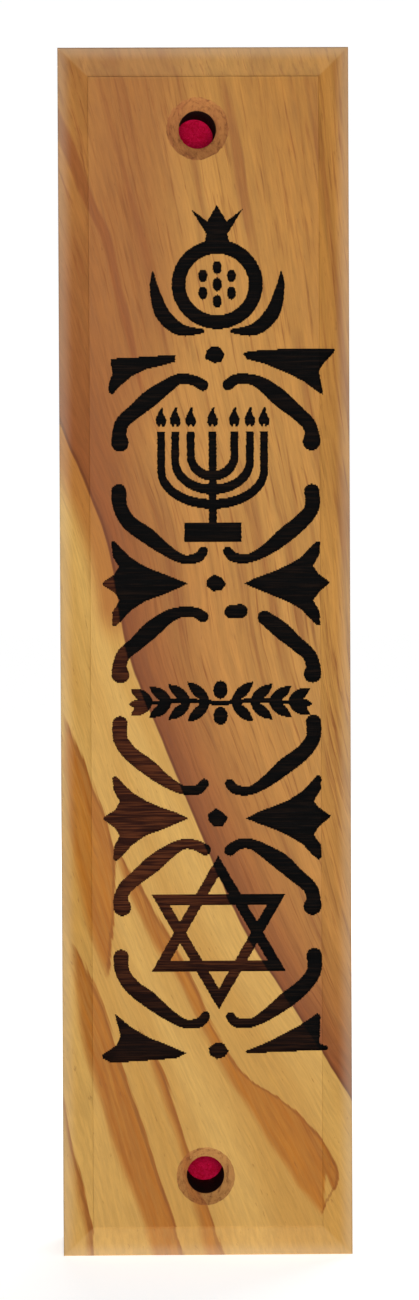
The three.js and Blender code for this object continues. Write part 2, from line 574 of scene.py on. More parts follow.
def surface(x, profile):
    """How far the front lies behind its field at x, between the top and bottom bevels."""
    inset = HALF_WIDTH - abs(x)
    for (s0, d0), (s1, d1) in zip(profile, profile[1:]):
        if s0 <= inset <= s1:
            return d0 + (d1 - d0) * (inset - s0) / (s1 - s0)
    return 0.0


def raster_rows(profile):
    """Every row's cells, as (left, right, burn depth)."""
    shapes = with_heights(ornament())
    columns = [HALF_WIDTH - s for s, _ in profile if RASTER_RIGHT > HALF_WIDTH - s]
    count = round((RASTER_TOP - RASTER_BOTTOM) / ROW_PITCH)
    rows = []
    for i in range(count):
        spans = burnt_spans(shapes, RASTER_TOP - (i + 0.5) * ROW_PITCH)
        depth = random.choice(BURN_DEPTHS)
        ends = []
        for a, b in spans:
            for end in (a, b):
                near = [c for c in columns if abs(c - end) < COLUMN_SNAP]
                ends.append(near[0] if near else end)
        marks = sorted({RASTER_LEFT, RASTER_RIGHT, *columns, *ends})
        cells = []
        for left, right in zip(marks, marks[1:]):
            middle = (left + right) / 2
            burnt = any(a < middle < b for a, b in spans)
            cells.append((left, right, depth if burnt else 0.0))
        rows.append(cells)
    return rows


def raster_relief(build, profile):
    """The engraved part of the front, row by row. Every row's floor has its own depth."""
    rows = raster_rows(profile)
    heights = [RASTER_TOP - i * ROW_PITCH for i in range(len(rows) + 1)]

    def level(x, depth):
        return FRONT + surface(x, profile) + depth

    # The places where cells end along each line between rows, and the depths that meet there.
    levels = []
    for j in range(len(rows) + 1):
        beside = [cell for row in rows[max(j - 1, 0):j + 1] for cell in row]
        found = {x: set() for left, right, _ in beside for x in (left, right)}
        for left, right, depth in beside:
            for x, depths in found.items():
                if left <= x <= right:
                    depths.add(depth)
        levels.append(found)
    marks = [sorted(found) for found in levels]

    def drop(j, x, start, end):
        """Points down a wall at one place, with a stop at each level that meets it."""
        low, high = sorted((start, end))
        stops = sorted(d for d in levels[j][x] if low <= d <= high)
        if start > end:
            stops.reverse()
        return [(x, level(x, depth), heights[j]) for depth in stops]

    for i, cells in enumerate(rows):
        for left, right, depth in cells:
            above = [x for x in marks[i] if left <= x <= right]
            below = [x for x in marks[i + 1] if left <= x <= right]
            outline = [(x, level(x, depth), heights[i]) for x in above]
            outline += [(x, level(x, depth), heights[i + 1]) for x in reversed(below)]
            build.face(outline, BURNT if depth else WOOD)
        for (_, x, depth_a), (_, _, depth_b) in zip(cells, cells[1:]):
            if depth_a != depth_b:
                wall = drop(i, x, depth_a, depth_b) + drop(i + 1, x, depth_b, depth_a)
                build.face(wall, BURNT)

    def depth_at(row, x):
        return next(depth for left, right, depth in row if left < x < right)

    for j in range(1, len(rows)):
        for x0, x1 in zip(marks[j], marks[j][1:]):
            middle = (x0 + x1) / 2
            upper = depth_at(rows[j - 1], middle)
            lower = depth_at(rows[j], middle)
            if upper != lower:
                build.face(drop(j, x0, upper, lower) + drop(j, x1, lower, upper), BURNT)
    return heights


def hole_rings(hole):
    """Rings of points down a countersunk hole, from its torn rim to the back."""
    sink = hole["sink"] - THROAT
    rough = hole["roughness"]
    steps = 7
    rings = []
    for i in range(steps + 1):
        t = i / steps
        ring = []
        for k in range(HOLE_SEGMENTS):
            angle = 2 * math.pi * k / HOLE_SEGMENTS
            place = Vector((3 * math.cos(angle), 3 * math.sin(angle), 5 * t + hole["z"]))
            torn = rough * noise.fractal(place * 2.1, 0.6, 2.1, 4) * (1.6 - t)
            radius = hole["sink"] + (THROAT - hole["sink"]) * t + torn
            depth = sink * t
            if 0 < i < steps:
                depth += 0.5 * rough * noise.noise(place * 3.7)
            ring.append((
                hole["x"] + radius * math.cos(angle),
                FRONT + depth,
                hole["z"] + radius * math.sin(angle),
            ))
        rings.append(ring)
    for depth in (sink + 0.15, sink + 4.0, sink + 8.0, -FRONT):
        lean = hole["lean"] * min(depth, LINING_DEPTH)
        throat = ellipse(hole["x"] - lean, hole["z"], THROAT, THROAT, HOLE_SEGMENTS)
        rings.append([(x, FRONT + depth, z) for x, z in throat])
    return rings


def cutter(rings, slots, material):
    """A closed piece through rings of points, with as many material slots as what it cuts."""
    build = Builder()
    build.tube(rings, material)
    for ring in (rings[0], rings[-1]):
        build.face(ring, material)
    return build.object("cutter", [None] * slots)


def level_rings(outline, depths):
    """An XZ outline at each of a few Y values."""
    return [[(x, y, z) for x, z in outline] for y in depths]


def channel_outline():
    """A slot with round ends, as a router bit leaves it."""
    steps = 24
    outline = []
    for end, start in ((1, 0.0), (-1, math.pi)):
        middle = end * (CHANNEL_HALF_LENGTH - CHANNEL_HALF_WIDTH)
        for i in range(steps + 1):
            angle = start + math.pi * i / steps
            outline.append((
                CHANNEL_HALF_WIDTH * math.cos(angle),
                middle + CHANNEL_HALF_WIDTH * math.sin(angle),
            ))
    return outline


def block_piece(materials):
    """The case: engraved front, bevels, sides, back, holes, groove and channel in one body."""
    build = Builder()
    profile = front_profile()
    heights = raster_relief(build, profile)
    top, bottom = heights[0], heights[-1]

    def frame_ring(inset, y):
        """The four corners, and the raster's top and bottom on the right and left sides."""
        right, high = HALF_WIDTH - inset, HALF_HEIGHT - inset
        corners = [
            (-right, high), (right, high), (right, top), (right, bottom),
            (right, -high), (-right, -high), (-right, bottom), (-right, top),
        ]
        return [(x, y, z) for x, z in corners]

    # The bevels, which give way to the raster where it reaches onto the right one.
    front_rings = [frame_ring(inset, FRONT + depth) for inset, depth in profile]
    right_edge = [(RASTER_RIGHT, FRONT + surface(RASTER_RIGHT, profile), z) for z in heights]
    left_edge = [(RASTER_LEFT, FRONT, z) for z in heights]
    right_side = 2
    raster_inset = HALF_WIDTH - RASTER_RIGHT
    for (inset, _), outer, inner in zip(profile, front_rings, front_rings[1:]):
        for i in range(len(outer)):
            j = (i + 1) % len(outer)
            if i == right_side and inset >= raster_inset - TINY:
                continue
            quad = [outer[i], outer[j], inner[j], inner[i]]
            if i == right_side and abs(inner[i][0] - RASTER_RIGHT) < TINY:
                quad = [outer[i], outer[j], *reversed(right_edge)]
            build.face(quad, WOOD)

    # The plain field left of the raster, and the ones with a hole above and below it.
    field = front_rings[-1]
    build.face([field[6], field[7], *left_edge], WOOD)
    upper, lower = [hole_rings(hole) for hole in HOLES]
    for outline, rim in (
        ([field[7], *field[:3], left_edge[0]], upper[0]),
        ([*field[3:7], left_edge[-1]], lower[0]),
    ):
        for loop in split_round(outline, rim, 1, 3):
            build.face(loop, WOOD)
    build.tube(upper, BORED)
    build.tube(lower, BORED)

    back_edge = rounded_corner((0.0, -BACK_SOFTNESS), (0.0, 0.0), (BACK_SOFTNESS, 0.0))
    back_rings = [frame_ring(inset, y) for inset, y in back_edge]
    build.tube([front_rings[0], *back_rings], WOOD)
    above, rest = split_round(back_rings[-1], upper[-1], 0, 2)
    for loop in (above, *split_round(rest, lower[-1], 2, 4)):
        build.face(loop, WOOD)

    block = build.object("case_block", materials)
    flare = OVERCUT * (GROOVE_FLOOR - GROOVE_MOUTH) / GROOVE_DEPTH
    section = [
        (-GROOVE_FLOOR, -GROOVE_DEPTH), (GROOVE_FLOOR, -GROOVE_DEPTH),
        (GROOVE_MOUTH - flare, OVERCUT), (-GROOVE_MOUTH + flare, OVERCUT),
    ]
    ends = (-HALF_HEIGHT + GROOVE_STOP, HALF_HEIGHT + OVERCUT)
    groove = [[(x, y, z) for x, y in section] for z in ends]
    channel = level_rings(channel_outline(), (CHANNEL_FLOOR, -GROOVE_DEPTH + OVERCUT))
    cut(block, [groove, channel], ROUTED)
    return block


# ---- the other pieces

def notch_rings():
    """A wide round-bottomed scoop for a thumbnail, with its axis along X."""
    centre_y = cover_high.y - NOTCH_DEPTH + NOTCH_RADIUS
    end_radius = NOTCH_RADIUS - NOTCH_DEPTH
    inner_half = NOTCH_HALF_WIDTH - NOTCH_END
    rings = []
    for x, radius in (
        (-NOTCH_HALF_WIDTH, end_radius), (-inner_half, NOTCH_RADIUS),
        (inner_half, NOTCH_RADIUS), (NOTCH_HALF_WIDTH, end_radius),
    ):
        circle = ellipse(centre_y, NOTCH_HEIGHT, radius, radius, 64)
        rings.append([(x, y, z) for y, z in circle])
    return rings


def cover_piece(materials):
    """The sliding back cover, with softened edges, screw holes and its thumb notch."""
    soft = 0.18
    inner, outer = cover_low.y, cover_high.y
    inner_half = cover_high.x
    outer_half = inner_half - (outer - inner) * (GROOVE_FLOOR - GROOVE_MOUTH) / GROOVE_DEPTH
    sides = [
        ((inner_half - soft, inner), (inner_half, inner), (inner_half - soft / 3, inner + soft)),
        ((outer_half + soft / 3, outer - soft), (outer_half, outer), (outer_half - soft, outer)),
    ]
    right = [point for start, corner, end in sides for point in rounded_corner(start, corner, end)]
    section = right + [(-x, y) for x, y in reversed(right)]
    middle = (inner + outer) / 2

    def ring(z, inset):
        return [
            (x - math.copysign(inset, x), y - math.copysign(inset, y - middle), z)
            for x, y in section
        ]

    low, high = cover_low.z, cover_high.z
    ends = rounded_corner((soft, 0.0), (0.0, 0.0), (0.0, soft))
    rings = [ring(low + rise, inset) for inset, rise in ends]
    rings += [ring(high - rise, inset) for inset, rise in reversed(ends)]
    build = Builder()
    build.tube(rings, WOOD)
    build.face(rings[0], WOOD)
    build.face(rings[-1], WOOD)
    panel = build.object("cover_panel", materials)
    shapes = []
    for hole in HOLES:
        outline = ellipse(hole["x"], hole["z"], CLEARANCE_HOLE, CLEARANCE_HOLE, HOLE_SEGMENTS)
        shapes.append(level_rings(outline, (inner - OVERCUT, outer + OVERCUT)))
    cut(panel, [*shapes, notch_rings()], CUT_COVER)
    return panel


def felt_piece(material):
    """A felt pad with a fuzzy face towards the case, and slightly wavy cut edges."""
    across, along = 64, 400
    edge_wander, fuzz_height, edge_round = 0.06, 0.09, 0.22
    width, length = felt_high.x - felt_low.x, felt_high.z - felt_low.z
    thickness = felt_high.y - felt_low.y

    def place(i, k, back):
        x = felt_low.x + width * i / across
        z = felt_low.z + length * k / along
        edge = min(x - felt_low.x, felt_high.x - x, z - felt_low.z, felt_high.z - z)
        wander = edge_wander * (1 + noise.noise(Vector((x, z, 3.0)) * 0.9))
        if i in (0, across):
            x -= math.copysign(wander, x)
        if k in (0, along):
            z -= math.copysign(wander, z)
        if back:
            return (x, felt_high.y, z)
        fuzz = fuzz_height * (0.5 + 0.5 * noise.fractal(Vector((x, 0, z)) * 1.9, 0.5, 2.2, 4))
        round_over = edge_round * math.exp(-edge / 0.25)
        return (x, felt_low.y + min(fuzz + round_over, thickness / 2), z)

    build = Builder()
    for back in (False, True):
        for i in range(across):
            for k in range(along):
                corners = ((i, k), (i + 1, k), (i + 1, k + 1), (i, k + 1))
                build.face([place(column, row, back) for column, row in corners])
    border = [(i, 0) for i in range(across)] + [(across, k) for k in range(along)]
    border += [(i, along) for i in range(across, 0, -1)] + [(0, k) for k in range(along, 0, -1)]
    build.strip([place(i, k, False) for i, k in border], [place(i, k, True) for i, k in border])
    return build.object("felt_lining", [material], 60)


def rolled_sheet(name, material, low, high, turns, inner, outer, thickness, waviness, steps_along):
    """A sheet rolled into a spiral about a line along Z, as one closed body."""
    centre_x, centre_y = (low.x + high.x) / 2, (low.y + high.y) / 2
    per_turn = 72
    count = round(turns * per_turn)
    build = Builder()

    def point(i, k, face):
        turn = i / per_turn
        angle = 2 * math.pi * turn + math.pi / 3
        z = low.z + (high.z - low.z) * k / steps_along
        radius = inner + (outer - inner) * i / count
        swell = noise.noise(Vector((math.cos(angle), math.sin(angle), z * 0.07 + turn)))
        radius -= face * thickness + waviness * (0.5 + 0.5 * swell)
        return (centre_x + radius * math.cos(angle), centre_y + radius * math.sin(angle), z)

    def line(k, face):
        return [point(i, k, face) for i in range(count + 1)]

    for k in range(steps_along):
        lower = line(k, 0) + line(k, 1)[::-1]
        upper = line(k + 1, 0) + line(k + 1, 1)[::-1]
        build.strip(lower, upper)
    for k in (0, steps_along):
        build.strip(line(k, 0), line(k, 1), closed=False)
    return build.object(name, [material], 40)


# ---- node building

def linear(red, green, blue):
    """A colour given as 0 to 255 screen values, as the shader's linear values."""
    values = []
    for value in (red, green, blue):
        value /= 255
        values.append(value / 12.92 if value <= 0.04045 else ((value + 0.055) / 1.055) ** 2.4)
    return (*values, 1.0)


class Graph:
    """Short forms for the nodes used here."""

    def __init__(self, tree):
        self.tree = tree

    def node(self, kind, **settings):
        made = self.tree.nodes.new("ShaderNode" + kind)
        for name, value in settings.items():
            setattr(made, name, value)
        return made

    def feed(self, socket, value):
        if isinstance(value, bpy.types.NodeSocket):
            self.tree.links.new(value, socket)
        else:
            socket.default_value = value

    def math(self, operation, first, second=0.0):
        made = self.node("Math", operation=operation)
        self.feed(made.inputs[0], first)
        self.feed(made.inputs[1], second)
        return made.outputs[0]

    def plus(self, first, second):
        return self.math("ADD", first, second)

    def minus(self, first, second):
        return self.math("SUBTRACT", first, second)

    def times(self, first, second):
        return self.math("MULTIPLY", first, second)

    def fit(self, value, low, high, to_low=0.0, to_high=1.0):
        """Maps low..high to another range with a smooth start and end."""
        made = self.node("MapRange", interpolation_type="SMOOTHSTEP")
        for socket, number in zip(made.inputs, (value, low, high, to_low, to_high)):
            self.feed(socket, number)
        return made.outputs[0]

    def mix(self, factor, first, second, mode="MIX"):
        made = self.node("Mix", data_type="RGBA", blend_type=mode)
        self.feed(made.inputs[0], factor)
        self.feed(made.inputs[6], first)
        self.feed(made.inputs[7], second)
        return made.outputs[2]

    def vector(self, x, y, z):
        made = self.node("CombineXYZ")
        for socket, value in zip(made.inputs, (x, y, z)):
            self.feed(socket, value)
        return made.outputs[0]

    def split(self, vector):
        made = self.node("SeparateXYZ")
        self.feed(made.inputs[0], vector)
        return made.outputs

    def scaled(self, vector, amounts, operation="MULTIPLY"):
        made = self.node("VectorMath", operation=operation)
        self.feed(made.inputs[0], vector)
        made.inputs[1].default_value = amounts
        return made.outputs[0]

    def shifted(self, vector, amounts):
        return self.scaled(vector, amounts, "ADD")

    def noise(self, vector, scale, detail=2.0, roughness=0.5, distortion=0.0):
        """Noise from about 0 to 1, with its own scale on each axis, in cycles per mm."""
        made = self.node("TexNoise")
        self.feed(made.inputs["Vector"], self.scaled(vector, scale))
        made.inputs["Scale"].default_value = 1.0
        made.inputs["Detail"].default_value = detail
        made.inputs["Roughness"].default_value = roughness
        made.inputs["Distortion"].default_value = distortion
        return made.outputs[0]

    def ramp(self, value, stops):
        """A colour by value, from (position, colour) stops."""
        made = self.node("ValToRGB")
        made.color_ramp.interpolation = "LINEAR"
        elements = made.color_ramp.elements
        while len(elements) > 1:
            elements.remove(elements[-1])
        elements[0].position, elements[0].color = stops[0]
        for position, colour in stops[1:]:
            elements.new(position).color = colour
        self.feed(made.inputs[0], value)
        return made.outputs[0]

    def curve(self, value, points, low=-40.0, high=40.0):
        """A smooth curve through (height, result) points, both in mm."""
        made = self.node("FloatCurve")
        line = made.mapping.curves[0]
        spots = [
            ((z + HALF_HEIGHT) / (2 * HALF_HEIGHT), (result - low) / (high - low))
            for z, result in sorted(points)
        ]
        while len(line.points) < len(spots):
            line.points.new(0.5, 0.5)
        for point, spot in zip(line.points, spots):
            point.location = spot
        made.mapping.update()
        along = self.plus(self.math("DIVIDE", value, 2 * HALF_HEIGHT), 0.5)
        self.feed(made.inputs["Value"], along)
        return self.plus(self.times(made.outputs[0], high - low), low)

    def bump(self, height, distance, strength):
        made = self.node("Bump")
        made.inputs["Strength"].default_value = strength
        made.inputs["Distance"].default_value = distance * MM
        self.feed(made.inputs["Height"], height)
        return made.outputs[0]


def new_material(name):
    """A material with its graph, its principled shader and coordinates in millimetres."""
    material = bpy.data.materials.new(name)
    material.use_nodes = True
    graph = Graph(material.node_tree)
    shader = material.node_tree.nodes["Principled BSDF"]
    place = graph.node("TexCoord").outputs["Object"]
    return material, graph, shader, graph.scaled(place, (1 / MM,) * 3)


def dress(graph, shader, colour, relief, roughness, specular):
    """Gives a shader its look. A plain number is set on the shader's own socket."""
    graph.feed(shader.inputs["Base Color"], colour)
    graph.feed(shader.inputs["Normal"], relief)
    graph.feed(shader.inputs["Roughness"], roughness)
    graph.feed(shader.inputs["Specular IOR Level"], specular)


# ---- olive wood

PALE_SAP = linear(200, 158, 88)
WARM_SAP = linear(186, 140, 70)
BAND = linear(172, 104, 24)
BAND_EDGE = linear(150, 84, 20)
FRINGE = linear(160, 96, 38)
# Oil deepens the colour: this much of its red, green and blue is left.
OIL = (0.97, 0.95, 0.86, 1.0)

# The heartwood's left edge, as (height, x).
HEART_EDGE = [
    (62.5, -26.0), (43.0, -20.0), (24.5, -14.7), (17.5, -12.1), (10.8, -10.0), (0.0, -7.9),
    (-10.0, -4.2), (-20.0, 0.0), (-29.6, 4.3), (-38.6, 9.9), (-44.8, 14.1), (-62.5, 25.0),
]
# The grain follows that edge where it is near. Further off it turns to follow a guide: an upright
# line on the heartwood's side, and SAP_GUIDE, as (height, x), on the sapwood's.
HEART_GUIDE_X = 40.0
SAP_GUIDE = [
    (62.5, -40.0), (24.0, -25.0), (0.0, -19.5), (-15.0, -17.0), (-25.0, -14.8), (-35.0, -11.6),
    (-45.0, -8.0), (-55.0, -4.8), (-62.5, -2.5),
]
# How much grain there is between the edge and each guide, and where the heartwood's colours end.
HEART_GRAIN_WIDTH = 45.0
SAP_GRAIN_WIDTH = 15.0
HEART_SPAN = 32.0

# Darker bands in the sapwood. Each is (height, middle x, half width) from its top to its foot.
SAP_BANDS = [
    [(-5, -14.3, -0.4), (-10, -13.5, 0.7), (-15, -12.5, 1.5), (-20, -11.7, 2.0), (-25, -11.2, 1.7),
     (-30, -10.8, 0.9), (-34, -10.2, -0.3)],
    [(-29, -13.9, -0.4), (-35, -12.4, 1.0), (-40, -11.2, 1.5), (-45, -9.7, 1.7), (-50, -8.1, 1.8),
     (-55, -6.4, 1.6), (-62.5, -3.8, 1.5)],
    [(-38, -7.4, -0.3), (-42.5, -5.6, 0.4), (-46, -4.4, 0.45), (-50, -3.1, 0.4), (-53, -2.1, 0.5),
     (-57, -0.9, 0.7), (-62.5, 1.0, 0.9)],
    [(-20, -9.4, -0.4), (-25, -7.2, 0.8), (-30, -4.6, 1.0), (-35, -1.7, 0.75), (-39, 0.0, 0.6),
     (-42, 1.6, 0.7), (-44, 3.0, 1.1), (-46, 5.2, 1.9), (-48.5, 7.4, 2.5), (-51.5, 9.6, 2.9),
     (-54, 11.0, 2.7), (-56, 11.4, 1.5), (-58.5, 11.6, -0.3)],
    [(-44, -15.0, -0.2), (-48, -14.1, 0.2), (-52, -13.5, 0.2), (-56, -12.8, 0.3), (-62.5, -11.6, 0.35)],
]
# A pale wedge beside the small knot at the foot of the widest band.
PALE_WEDGE = [(-53.5, 12.0, -0.3), (-55.0, 12.3, 0.35), (-57.5, 13.0, 0.8), (-62.5, 15.5, 1.0)]

# Darker streaks in the heartwood, with how softly they fade and how strong they are.
HEART_STREAKS = [
    ([(58, -15.4, 0.3), (51, -13.3, 0.6), (47, -12.0, 0.6), (43, -10.3, 0.5), (38.5, -9.2, 0.5),
      (35, -8.3, 0.45), (31, -7.4, 0.35), (24, -6.0, -0.2)], 0.2, 0.9),
    ([(62.5, -12.0, 0.0), (56, -10.2, 0.2), (48, -8.0, 0.25), (40, -5.6, 0.2), (33, -3.8, -0.1)],
     0.3, 0.45),
    ([(62.5, -8.0, 8.0), (50, -8.0, 8.0), (36, -10.0, 7.0), (24, -11.0, 4.0), (10, -10.0, -2.0)],
     4.0, 0.62),
]


def stripe(graph, across, height, points, softness, crispness):
    """A band that wanders up the block, and the thin line down its right edge, each 0 to 1."""
    middle = graph.curve(height, [(z, x) for z, x, _ in points])
    widths = [(z, half) for z, _, half in points]
    half = graph.curve(height, widths, -5.0, 5.0)
    from_middle = graph.minus(across, middle)
    left = graph.fit(graph.plus(half, from_middle), -softness, softness)
    to_right = graph.minus(half, from_middle)
    right = graph.fit(to_right, -crispness, crispness)
    band = graph.times(left, right)
    near_edge = graph.math("ABSOLUTE", graph.minus(to_right, 0.2))
    line = graph.times(graph.fit(near_edge, 0.3, 0.05), band)
    return band, line


def wood_figure():
    """A node group with the colour, sapwood share and fibre height at a place in the log."""
    tree = bpy.data.node_groups.new("olive_wood_figure", "ShaderNodeTree")
    for name, way, kind in (
        ("Place", "INPUT", "Vector"), ("Colour", "OUTPUT", "Color"),
        ("Sapwood", "OUTPUT", "Float"), ("Fibre", "OUTPUT", "Float"),
    ):
        tree.interface.new_socket(name, in_out=way, socket_type="NodeSocket" + kind)
    graph = Graph(tree)
    place = tree.nodes.new("NodeGroupInput").outputs["Place"]
    x, y, z = graph.split(place)

    # The growth rings lean into the block and wander a little.
    leaning = graph.plus(x, graph.times(graph.minus(y, FRONT), 0.35))
    slow = graph.noise(place, (0.05, 0.05, 0.02), 1.0)
    quick = graph.noise(place, (0.4, 0.4, 0.06), 2.0)
    slow_wander = graph.times(graph.minus(slow, 0.5), 1.4)
    quick_wander = graph.times(graph.minus(quick, 0.5), 0.7)
    across = graph.plus(leaning, graph.plus(slow_wander, quick_wander))
    edge = graph.curve(z, HEART_EDGE)
    guide = graph.curve(z, SAP_GUIDE)
    inside = graph.minus(across, edge)
    heart_fan = graph.math("DIVIDE", inside, graph.minus(HEART_GUIDE_X, edge))
    sap_fan = graph.math("DIVIDE", inside, graph.minus(edge, guide))
    heart_grain = graph.math("MAXIMUM", graph.times(heart_fan, HEART_GRAIN_WIDTH), 0.0)
    sap_grain = graph.math("MINIMUM", graph.times(sap_fan, SAP_GRAIN_WIDTH), 0.0)
    log = graph.vector(graph.plus(heart_grain, sap_grain), y, z)

    broad = graph.noise(log, (0.2, 0.2, 0.012), 2.0)
    streak = graph.noise(log, (0.85, 0.45, 0.03), 3.0, 0.6)
    fine = graph.noise(log, (3.2, 1.0, 0.1), 3.0, 0.65)
    fibre = graph.noise(log, (4.8, 1.4, 0.3), 4.0, 0.7)

    # Heartwood: darker by its edge, then streaks, pale patches and fine dark lines.
    heart = graph.ramp(
        graph.math("DIVIDE", inside, HEART_SPAN),
        [
            (0.0, linear(122, 64, 30)), (0.03, linear(136, 78, 40)), (0.1, linear(148, 91, 46)),
            (0.19, linear(163, 109, 55)), (0.3, linear(175, 122, 62)), (0.6, linear(180, 130, 66)),
            (1.0, linear(168, 116, 54)),
        ],
    )
    heart = graph.mix(graph.fit(streak, 0.45, 0.28, 0.0, 0.55), heart, linear(142, 78, 40))
    tone = graph.fit(streak, 0.3, 0.7, 0.86, 1.1)
    heart = graph.mix(1.0, heart, graph.vector(tone, tone, tone), "MULTIPLY")
    heart = graph.mix(graph.fit(broad, 0.55, 0.8, 0.0, 0.45), heart, linear(190, 140, 84))
    dark_lines = graph.fit(fine, 0.52, 0.72, 0.0, 0.75)
    heart = graph.mix(dark_lines, heart, linear(128, 72, 36))
    for points, softness, strength in HEART_STREAKS:
        band, _ = stripe(graph, across, z, points, softness, softness)
        heart = graph.mix(graph.times(band, strength), heart, linear(138, 80, 40))

    # Sapwood: bands with a thin dark line down their right edge, and a fringe by the heartwood.
    sap = graph.mix(graph.fit(broad, 0.35, 0.7), PALE_SAP, WARM_SAP)
    sap = graph.mix(graph.fit(fine, 0.55, 0.85, 0.0, 0.2), sap, linear(176, 126, 58))
    frayed = graph.plus(across, graph.fit(fine, 0.3, 0.7, -0.14, 0.14))
    bands, lines = 0.0, 0.0
    for points in SAP_BANDS:
        band, line = stripe(graph, frayed, z, points, 0.5, 0.14)
        bands = graph.math("MAXIMUM", band, bands)
        lines = graph.math("MAXIMUM", line, lines)
    wedge, _ = stripe(graph, frayed, z, PALE_WEDGE, 0.2, 0.2)
    bands = graph.times(bands, graph.minus(1.0, wedge))
    band_colour = graph.mix(graph.fit(streak, 0.3, 0.7), BAND, BAND_EDGE)
    bands = graph.times(bands, graph.fit(fine, 0.3, 0.7, 0.98, 0.72))
    sap = graph.mix(bands, sap, band_colour)
    sap = graph.mix(graph.times(lines, 0.55), sap, linear(128, 72, 28))
    fringe = graph.times(graph.fit(inside, -3.2, -1.2), graph.fit(z, 26.0, 22.0))
    fringe = graph.times(fringe, graph.fit(z, 0.0, 5.0))
    sap = graph.mix(graph.times(fringe, 0.8), sap, FRINGE)

    # The two together, with a dark line between them, fibres, pores and oil over both.
    heartwood = graph.fit(inside, -0.12, 0.12)
    colour = graph.mix(heartwood, sap, heart)
    edge_line = graph.fit(graph.math("ABSOLUTE", graph.minus(inside, 0.16)), 0.2, 0.06)
    colour = graph.mix(graph.times(edge_line, 0.65), colour, linear(96, 50, 26))
    shade = graph.fit(fibre, 0.3, 0.7, 0.88, 1.09)
    colour = graph.mix(1.0, colour, graph.vector(shade, shade, shade), "MULTIPLY")
    pores = graph.fit(graph.noise(log, (6.0, 2.0, 0.8), 2.0, 0.5), 0.66, 0.74, 0.0, 0.4)
    colour = graph.mix(pores, colour, linear(120, 70, 34))
    colour = graph.mix(1.0, colour, OIL, "MULTIPLY")

    outputs = tree.nodes.new("NodeGroupOutput")
    tree.links.new(colour, outputs.inputs["Colour"])
    tree.links.new(graph.minus(1.0, heartwood), outputs.inputs["Sapwood"])
    tree.links.new(graph.plus(fibre, fine), outputs.inputs["Fibre"])
    return tree


def figured(graph, tree, place):
    """The figure group's outputs at a place."""
    group = graph.node("Group", node_tree=tree)
    graph.feed(group.inputs["Place"], place)
    return group.outputs["Colour"], group.outputs["Sapwood"], group.outputs["Fibre"]


def painted_sheen_shares(graph, place):
    """How much painted sheen the block gets: a pale rim at its outer edges, sides and ends, and a
    paler tint on its end bevels and end faces. Both are shares from 0 to 1."""
    x, y, z = graph.split(place)
    from_side = graph.minus(HALF_WIDTH, graph.math("ABSOLUTE", x))
    from_end = graph.minus(HALF_HEIGHT, graph.math("ABSOLUTE", z))
    # Painted sheen: a pale rim within 1.6 mm of the outer edges.
    edge_sheen = graph.fit(graph.math("MINIMUM", from_side, from_end), 1.6, 0.0)
    mitred = graph.fit(graph.minus(from_side, from_end), -0.2, 0.2)
    # The back's rails have no bevel, so only the front and the end faces count.
    in_front = graph.fit(y, FRONT + 2.0, FRONT + 1.5)
    on_end = graph.fit(from_end, 0.3, 0.1)
    # Painted sheen on the end bevels and end faces, where they lie nearer the ends than the sides.
    near_ends = graph.times(mitred, graph.math("MAXIMUM", in_front, on_end))
    on_bevel = graph.fit(from_end, BEVEL_WIDTH + 0.3, BEVEL_WIDTH - 0.3)
    return edge_sheen, graph.times(on_bevel, near_ends)


def wood_material(name, tree, shift=(0, 0, 0), roughness=0.56, bevelled=False):
    """Oiled olive wood. A shifted piece is sawn from another part of the log."""
    material, graph, shader, place = new_material(name)
    colour, _, fibre = figured(graph, tree, graph.shifted(place, shift))
    if bevelled:
        # Painted sheen: the top and bottom bevels and the end faces are tinted paler, and so is a rim
        # along the outer edges.
        edge_sheen, end_sheen = painted_sheen_shares(graph, place)
        colour = graph.mix(graph.times(end_sheen, 0.12), colour, linear(230, 196, 140))
        colour = graph.mix(graph.times(edge_sheen, 0.2), colour, linear(212, 200, 178))
    uneven = graph.fit(fibre, 0.5, 1.5, roughness - 0.06, roughness + 0.1)
    dress(graph, shader, colour, graph.bump(fibre, 0.02, 0.6), roughness=uneven, specular=0.16)
    return material


def burnt_material(tree):
    """The laser's floor: near black on heartwood and brown on sapwood, in fine level lines."""
    material, graph, shader, place = new_material("burnt_wood")
    _, sapwood, fibre = figured(graph, tree, place)
    lines = graph.noise(place, (0.25, 0.3, 6.5), 2.0, 0.6)
    patches = graph.noise(place, (0.25, 0.25, 0.25), 2.0)
    char = graph.mix(graph.fit(lines, 0.45, 0.75), linear(6, 6, 6), linear(26, 17, 12))
    scorch = graph.mix(graph.fit(lines, 0.35, 0.7), linear(42, 19, 13), linear(88, 46, 25))
    share = graph.times(sapwood, graph.fit(patches, 0.2, 0.6, 0.55, 1.0))
    # The last figures, at the foot, were burnt darker.
    share = graph.times(share, graph.fit(graph.split(place)[2], -39.0, -27.0, 0.15, 1.0))
    height = graph.plus(lines, graph.times(fibre, 0.5))
    colour = graph.mix(share, char, scorch)
    dress(graph, shader, colour, graph.bump(height, 0.05, 0.7), roughness=0.85, specular=0.06)
    return material


def bored_material(tree):
    """Torn end grain in the countersinks, and throats painted near black as shade."""
    material, graph, shader, place = new_material("bored_wood")
    colour, _, fibre = figured(graph, tree, place)
    depth = graph.minus(graph.split(place)[1], FRONT)
    torn = graph.noise(place, (2.2, 2.2, 1.1), 4.0, 0.7)
    cone = graph.mix(0.5, colour, linear(172, 108, 70))
    cone = graph.mix(graph.fit(torn, 0.45, 0.72, 0.0, 0.7), cone, linear(104, 56, 32))
    # Below the countersink the throat is painted near black: painted shade inside the hole.
    colour = graph.mix(graph.fit(depth, 1.15, 1.7), cone, linear(44, 20, 14))
    height = graph.plus(torn, fibre)
    dress(graph, shader, colour, graph.bump(height, 0.12, 0.8), roughness=0.9, specular=0.12)
    return material


